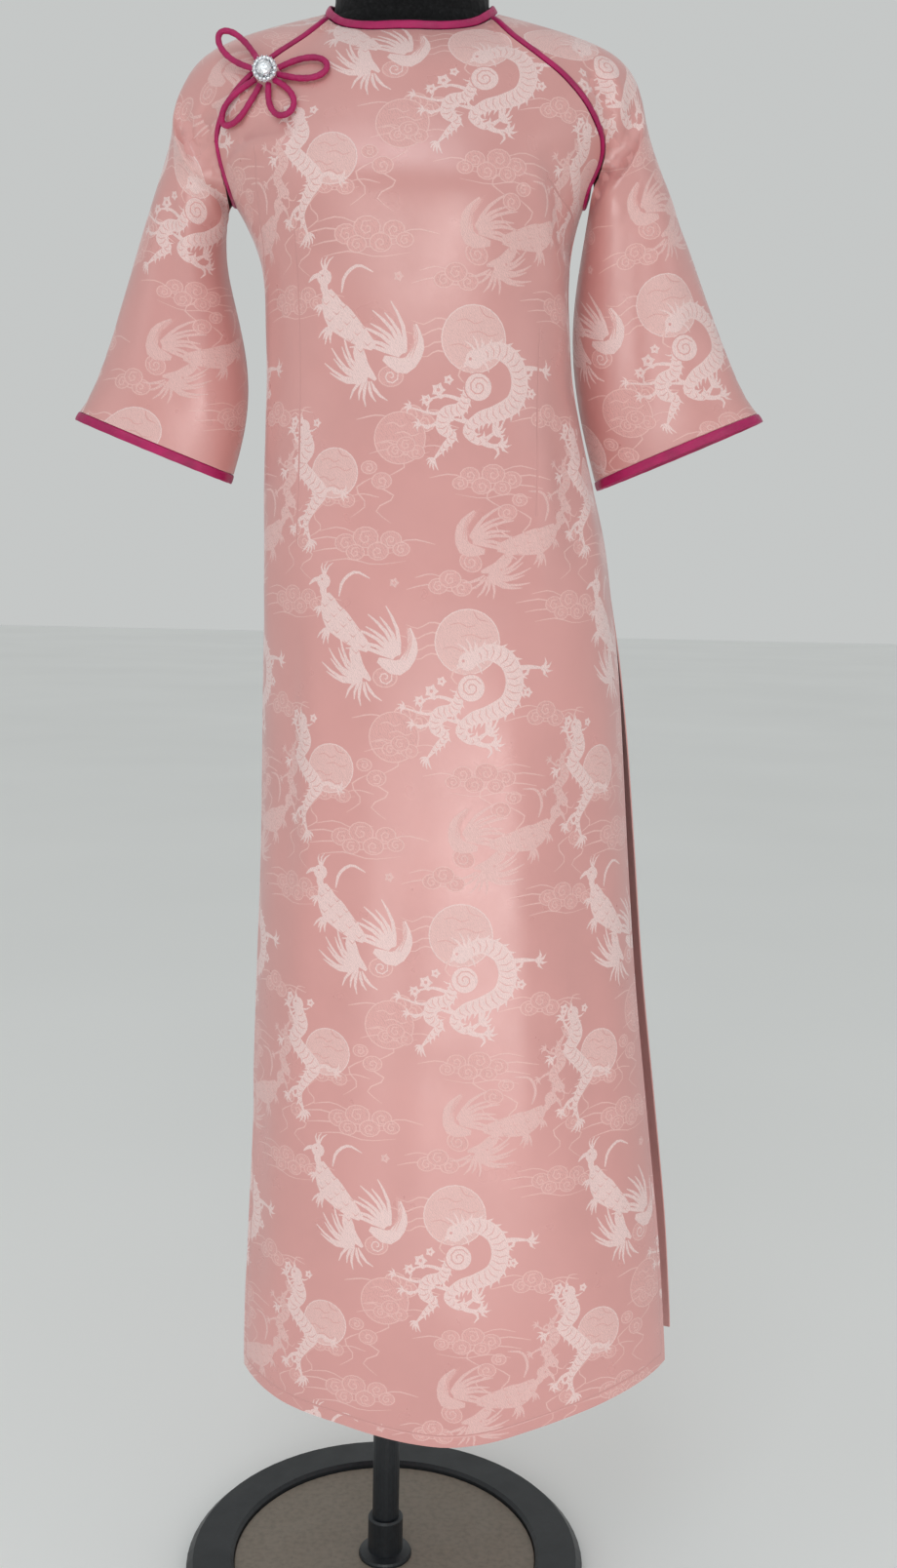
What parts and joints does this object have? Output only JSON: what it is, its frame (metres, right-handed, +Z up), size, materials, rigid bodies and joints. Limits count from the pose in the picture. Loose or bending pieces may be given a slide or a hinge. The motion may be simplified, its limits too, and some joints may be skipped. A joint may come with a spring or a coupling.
{
  "type": "ao dai tunic on a dress form",
  "caption": "Long raglan-sleeved ao dai tunic with side slits, round bound neck and a looped frog, worn by a limbless dress form on a pole and round base.",
  "frame": {"origin": "centre of the round base's underside, on the floor", "axes": "+Z up through the pole, -Y the way the front of the garment faces, +X the wearer's left"},
  "size_m": [0.5944, 0.374, 1.4838],
  "materials": {
    "satin": "dusty pink jacquard satin with paler woven figures",
    "trim": "magenta satin, bias cut",
    "silver": "polished silver-coloured setting",
    "crystal": "clear faceted crystal",
    "form_cover": "matte black stretch cover",
    "black_paint": "satin black paint",
    "taupe_paint": "grey-brown satin paint"
  },
  "bodies": {
    "root": {"front_panel": "satin", "back_panel": "satin", "sleeve_left": "satin", "sleeve_right": "satin", "neck_binding": "trim", "raglan_piping_left": "trim", "raglan_piping_right": "trim", "cuff_binding_left": "trim", "cuff_binding_right": "trim", "frog_loop_upper": "trim", "frog_loop_inner": "trim", "frog_loop_lower": "trim", "frog_loop_outer": "trim", "button_setting": "silver", "button_crystal": "crystal", "form_body": "form_cover", "neck_cap": "black_paint", "pole": "black_paint", "pole_foot": "black_paint", "base_ring": "black_paint", "base_disc": "taupe_paint"}
  },
  "joints": []
}
